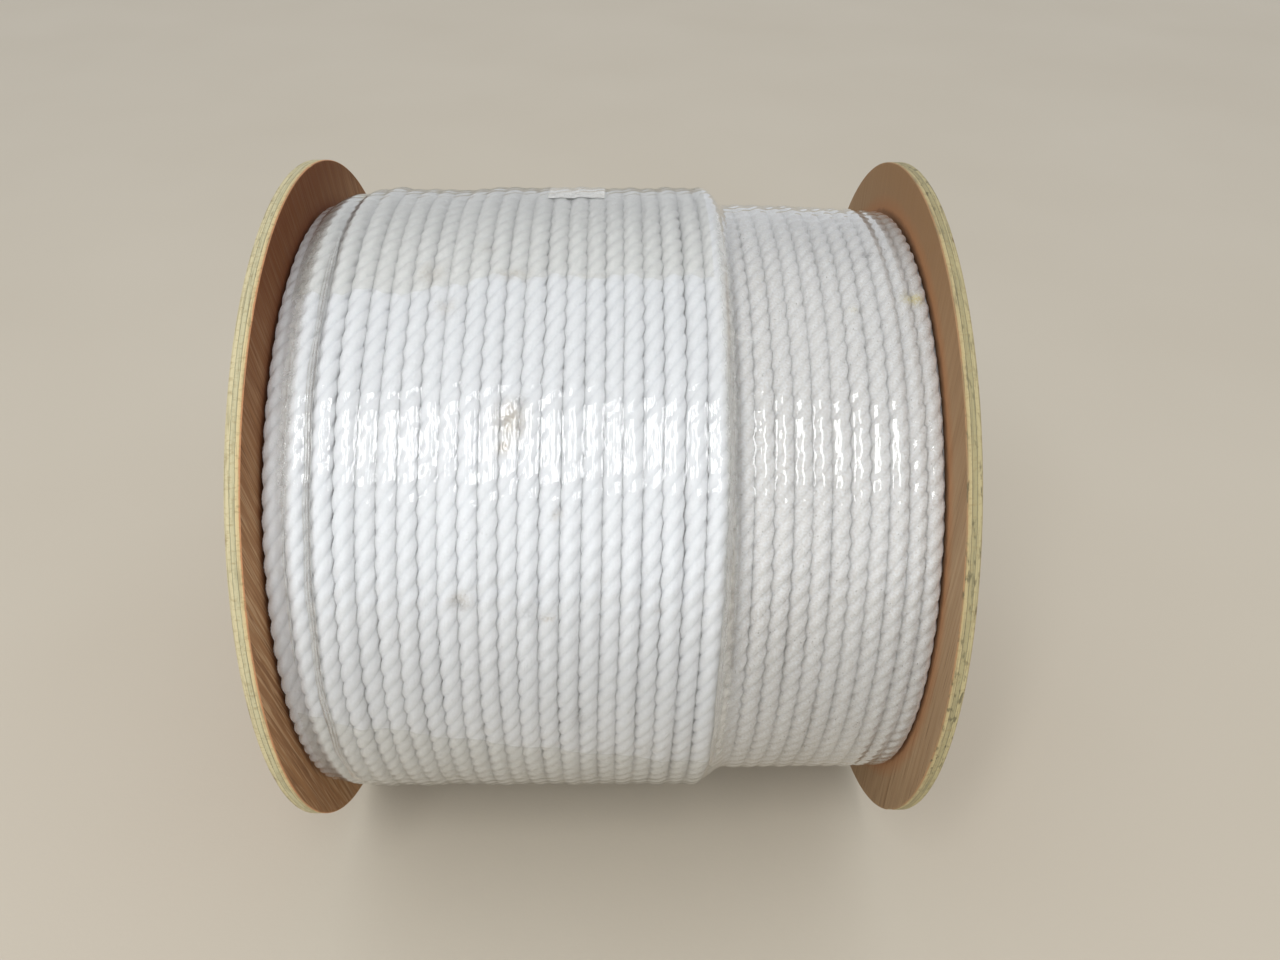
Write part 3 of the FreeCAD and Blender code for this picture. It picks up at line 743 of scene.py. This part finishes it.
# Chips in the rim: (angle, half width in degrees, depth, from ply depth, to ply depth).
flange_piece("left_flange", -1, LEFT_BOARD, [
    (60, 1.2, 0.9, 5.5, 7.1), (30, 0.8, 0.6, 0, 0.6), (-12, 1.6, 0.6, 0, 0.6),
    (100, 1.0, 0.7, 6.5, 7.1), (170, 2.5, 0.8, 0, 0.7), (250, 2.0, 0.8, 6.4, 7.1)])
flange_piece("right_flange", 1, RIGHT_BOARD, [
    (-36, 1.6, 1.6, 4.6, 7.1), (75, 1.0, 0.7, 0, 0.7), (20, 1.2, 0.7, 0, 0.6),
    (48, 0.7, 0.8, 6.4, 7.1), (140, 2.2, 0.9, 0, 0.7), (215, 1.8, 0.8, 6.4, 7.1)])

# ---------------------------------------------------------------- tie rods and the kept nodes
THREAD_PITCH, THREAD_DEEP, THREAD_TURNS = 1.411, 0.75, 20
ROD_BEVEL = 1.1
STEEL = steel_material("zinc_plate", srgb(176, 178, 178), 90)
ROD_STEEL = steel_material("zinc_thread", srgb(164, 166, 166), 60)


def rod_piece(number):
    """A bar with a rolled thread at each end and bevelled tips."""
    lo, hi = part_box(f"tie_rod_{number}")
    y, z = (lo.y + hi.y) / 2 / MM, (lo.z + hi.z) / 2 / MM
    radius, end = (hi.y - lo.y) / 2 / MM, hi.x / MM
    segments, steps = 24, 5
    reach = THREAD_PITCH * THREAD_TURNS
    along = np.concatenate([
        np.arange(0, reach, THREAD_PITCH / steps), [reach + 1.0, 2 * end - reach - 1.0],
        2 * end - np.arange(0, reach, THREAD_PITCH / steps)[::-1]])
    turn = np.arange(segments) / segments
    grid = np.abs((along[:, None] / THREAD_PITCH - turn[None, :]) % 1 - 0.5) * 2
    from_tip = np.minimum(along, 2 * end - along)[:, None]
    cut = THREAD_DEEP * grid * (from_tip < reach)
    r = np.minimum(radius - cut, radius - ROD_BEVEL + from_tip * 0.9)
    a = np.radians(turn * 360)[None, :]
    points = np.stack(np.broadcast_arrays(along[:, None] - end, y + r * np.cos(a),
                                          z + r * np.sin(a)), -1)
    count = len(along)
    faces = [grid_faces(count, segments, wrap_columns=True, flip=True),
             np.arange(segments)[None, :], (np.arange(segments) + (count - 1) * segments)[None, ::-1]]
    made = piece(f"threaded_rod_{number}", points, faces, ROD_STEEL,
                 [f"tie_rod_{number}"])
    made.data.set_sharp_from_angle(angle=math.radians(50))


for number in range(1, 5):
    rod_piece(number)

PAPER = paper_material()
for node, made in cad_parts.items():
    material = STEEL if "nut" in node or "washer" in node else None
    material = {"core_tube": PAPER, "rope_inner_layers": ROPE}.get(node, material)
    if material:
        made.data.materials.clear()
        made.data.materials.append(material)

# ---------------------------------------------------------------- closing tape
tape_lo, tape_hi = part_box("closing_tape")
TAPE_FIRST, TAPE_LAST = 97.5, 115.0  # degrees
tape_rows, tape_columns = 40, 41
tape_x = np.linspace(tape_lo.x / MM, tape_hi.x / MM, tape_columns)
tape_angle = np.linspace(TAPE_FIRST, TAPE_LAST, tape_rows)
grid_x, grid_angle = np.meshgrid(tape_x, tape_angle)
TAPE_BALL, TAPE_GAP = 16.0, 0.3  # the tape bridges more than the film under it
tape_height = film_at(grid_x, grid_angle)
tape_height = roll_over(tape_height, TAPE_BALL, tape_x[1] - tape_x[0], 1) + TAPE_GAP
piece("tape_strip", ring_points(grid_x, tape_height, grid_angle),
      [grid_faces(tape_rows, tape_columns)], TAPE, ["closing_tape"],
      {"stretch": stretch_lines(grid_x, grid_angle, TOP, 0.3, 0.05),
       "loose": np.ones_like(grid_x), "milk": np.ones_like(grid_x)})

# ---------------------------------------------------------------- floor, lights, camera


def add_floor():
    s = Shader("pale_floor")
    tone = s.mix(s.noise(s.place((3, 3, 3)), 1.0, 2.0), srgb(196, 187, 171), srgb(189, 179, 162))
    grain = s.noise(s.place((400, 400, 400)), 1.0, 2.0)
    material = s.finish(s.principled(Base_Color=tone, Roughness=0.8,
                                     Normal=s.bump(grain, 0.1, 0.0005)))
    mesh = bpy.data.meshes.new("floor")
    half_m = 6.0
    corners = [(-half_m, -half_m, 0), (half_m, -half_m, 0), (half_m, half_m, 0), (-half_m, half_m, 0)]
    mesh.from_pydata(corners, [], [(0, 1, 2, 3)])
    mesh.materials.append(material)
    made = bpy.data.objects.new("floor", mesh)
    bpy.context.collection.objects.link(made)


CENTRE_M = (0.0, 0.0, AXIS_Z * MM)
# (name, place and size in metres, watts, colour)
LIGHTS = [
    ("key_left", (-0.60, -1.18, 1.78), (0.20, 0.85), 7.4, (0.985, 0.995, 1.0)),
    ("key_right", (0.22, -1.26, 1.74), (0.24, 0.95), 7, (0.985, 0.995, 1.0)),
    ("front", (-0.8, -2.5, 0.62), (3.2, 1.8), 23, (0.99, 0.995, 1.0)),
]


def area_light(name, place, size, power, colour):
    """A rectangular light that faces the middle of the reel."""
    data = bpy.data.lights.new(name, "AREA")
    data.shape = "RECTANGLE"
    data.size, data.size_y = size
    data.energy, data.color = power, colour
    made = bpy.data.objects.new(name, data)
    made.location = place
    to_reel = Vector(CENTRE_M) - Vector(place)
    made.rotation_euler = to_reel.to_track_quat("-Z", "Y").to_euler()
    bpy.context.collection.objects.link(made)
    return made


add_floor()
*_, front_light = [area_light(*light) for light in LIGHTS]
front_light.visible_glossy = False  # the film doesn't mirror it
world = bpy.data.worlds.new("studio")
world.use_nodes = True
background = world.node_tree.nodes["Background"].inputs
background["Color"].default_value = (0.955, 0.975, 1.0, 1.0)
background["Strength"].default_value = 0.88
bpy.context.scene.world = world
bpy.context.scene.view_settings.view_transform = "Standard"

camera_data = bpy.data.cameras.new("camera")
camera_data.sensor_width = 36.0
camera_data.lens = 29.6
camera_data.clip_start = 0.01
camera = bpy.data.objects.new("camera", camera_data)
CAMERA_PLACE_M = (0.00718, -0.51325, 0.39103 + AXIS_Z * MM)
CAMERA_TURN, CAMERA_DOWN, CAMERA_ROLL = -1.211, 36.99, 0.682  # degrees
camera.matrix_world = (
    Matrix.Translation(CAMERA_PLACE_M) @ Matrix.Rotation(math.radians(CAMERA_TURN), 4, "Z")
    @ Matrix.Rotation(math.radians(90 - CAMERA_DOWN), 4, "X")
    @ Matrix.Rotation(math.radians(CAMERA_ROLL), 4, "Z"))
bpy.context.collection.objects.link(camera)
bpy.context.scene.camera = camera
